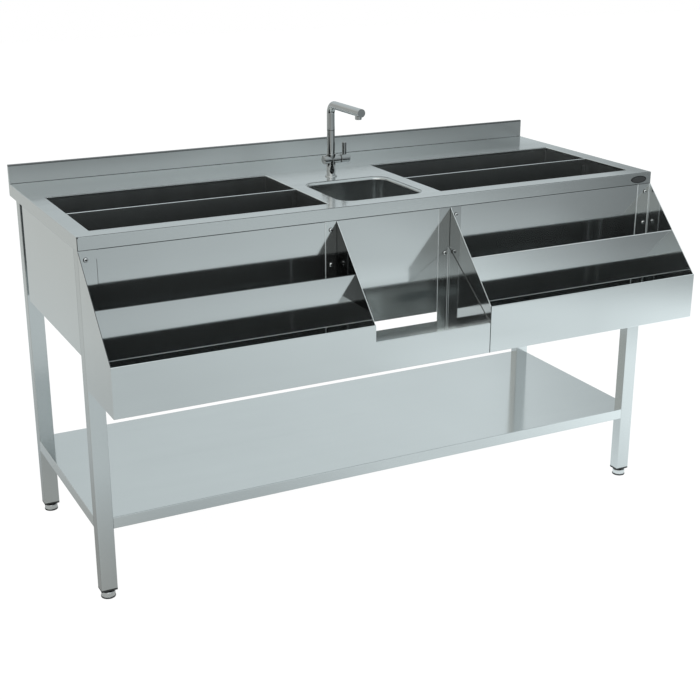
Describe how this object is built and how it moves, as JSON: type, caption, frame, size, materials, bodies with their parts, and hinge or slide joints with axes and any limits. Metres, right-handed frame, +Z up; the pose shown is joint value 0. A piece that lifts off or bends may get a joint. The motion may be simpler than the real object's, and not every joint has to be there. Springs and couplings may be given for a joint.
{
  "type": "bar sink with ice bins",
  "caption": "Stainless bar counter with a small sink, a swivel tap, ice bins with lift-out dividers, stepped bottle racks and a lower shelf on adjustable feet.",
  "frame": {"origin": "on the floor, under the middle of the whole length and depth", "axes": "+X along the worktop to the right as the user stands, +Y from the bottle racks to the splashback, +Z up"},
  "size_m": [1.5, 0.79, 1.04],
  "materials": {
    "worktop_steel": "brushed along its length, half mirror",
    "frame_steel": "fine brushed",
    "bin_steel": "bright rolled, seen in shade",
    "bowl_steel": "pressed and polished",
    "rack_steel": "brushed, half mirror",
    "shelf_steel": "brushed along its length",
    "leg_steel": "ground tube",
    "loose_steel": "bright rolled",
    "tap_chrome": "brushed nickel over brass",
    "waste_chrome": "polished",
    "gasket_rubber": "matt",
    "nut_plastic": "moulded",
    "cap_plastic": "moulded",
    "foot_metal": "turned",
    "screw_steel": "bright pan heads"
  },
  "bodies": {
    "frame": {"worktop": "worktop_steel", "front_rail": "frame_steel", "rear_rail": "frame_steel", "cross_rail_left": "frame_steel", "cross_rail_right": "frame_steel", "ice_bin_left": "bin_steel", "ice_bin_right": "bin_steel", "bin_guides": "bin_steel", "bin_waste_left": "waste_chrome", "bin_waste_right": "waste_chrome", "bin_gasket_left": "gasket_rubber", "bin_gasket_right": "gasket_rubber", "bin_nut_left": "nut_plastic", "bin_nut_right": "nut_plastic", "sink_bowl": "bowl_steel", "sink_waste": "waste_chrome", "sink_gasket": "gasket_rubber", "sink_nut": "nut_plastic", "tap_ring": "tap_chrome", "tap_body": "tap_chrome", "tap_shank": "tap_chrome", "tap_washer": "gasket_rubber", "tap_nut": "tap_chrome", "leg_front_left": "leg_steel", "cap_front_left": "cap_plastic", "leg_front_right": "leg_steel", "cap_front_right": "cap_plastic", "leg_rear_left": "leg_steel", "cap_rear_left": "cap_plastic", "leg_rear_right": "leg_steel", "cap_rear_right": "cap_plastic", "shelf": "shelf_steel", "shelf_stiffener": "frame_steel", "skirt_left": "leg_steel", "skirt_right": "leg_steel", "apron": "rack_steel", "cheek_left": "rack_steel", "cheek_mid": "rack_steel", "gusset": "rack_steel", "front_tray_left": "rack_steel", "upper_tray_left": "rack_steel", "cheek_centre": "rack_steel", "cheek_right": "rack_steel", "front_tray_right": "rack_steel", "upper_tray_right": "rack_steel", "rack_screws": "screw_steel"},
    "left_floor": {"bin_grid_left": "loose_steel"},
    "right_floor": {"bin_grid_right": "loose_steel"},
    "left_divider": {"bin_divider_left": "loose_steel"},
    "right_divider": {"bin_divider_right": "loose_steel"},
    "strainer": {"sink_strainer": "waste_chrome"},
    "spout": {"tap_spout": "tap_chrome", "tap_aerator": "tap_chrome"},
    "cartridge": {"tap_cartridge": "tap_chrome"},
    "lever": {"tap_cap": "tap_chrome", "tap_lever": "tap_chrome"},
    "foot_front_left": {"foot_front_left": "foot_metal"},
    "foot_front_right": {"foot_front_right": "foot_metal"},
    "foot_rear_left": {"foot_rear_left": "foot_metal"},
    "foot_rear_right": {"foot_rear_right": "foot_metal"}
  },
  "joints": [
    {"name": "left_floor_lift", "type": "slide", "parent": "frame", "child": "left_floor", "axis": [0, 0, 1], "range_m": [0, 0.25]},
    {"name": "left_divider_lift", "type": "slide", "parent": "left_floor", "child": "left_divider", "axis": [0, 0, 1], "range_m": [0, 0.25]},
    {"name": "right_floor_lift", "type": "slide", "parent": "frame", "child": "right_floor", "axis": [0, 0, 1], "range_m": [0, 0.25]},
    {"name": "right_divider_lift", "type": "slide", "parent": "right_floor", "child": "right_divider", "axis": [0, 0, 1], "range_m": [0, 0.25]},
    {"name": "strainer_lift", "type": "slide", "parent": "frame", "child": "strainer", "axis": [0, 0, 1], "range_m": [0, 0.16]},
    {"name": "spout_swivel", "type": "hinge", "parent": "frame", "child": "spout", "pos_m": [-0.0065, 0.116, 0.966], "axis": [0, 0, 1], "range_deg": [-120, 120]},
    {"name": "handle_turn", "type": "hinge", "parent": "frame", "child": "cartridge", "pos_m": [0.0175, 0.116, 0.893], "axis": [1, 0, 0], "range_deg": [-45, 45]},
    {"name": "lever_tilt", "type": "hinge", "parent": "cartridge", "child": "lever", "pos_m": [0.0235, 0.116, 0.893], "axis": [0, 1, 0], "range_deg": [0, 10]},
    {"name": "foot_screw_front_left", "type": "slide", "parent": "frame", "child": "foot_front_left", "axis": [0, 0, -1], "range_m": [0, 0.025]},
    {"name": "foot_screw_front_right", "type": "slide", "parent": "frame", "child": "foot_front_right", "axis": [0, 0, -1], "range_m": [0, 0.025]},
    {"name": "foot_screw_rear_left", "type": "slide", "parent": "frame", "child": "foot_rear_left", "axis": [0, 0, -1], "range_m": [0, 0.025]},
    {"name": "foot_screw_rear_right", "type": "slide", "parent": "frame", "child": "foot_rear_right", "axis": [0, 0, -1], "range_m": [0, 0.025]}
  ]
}
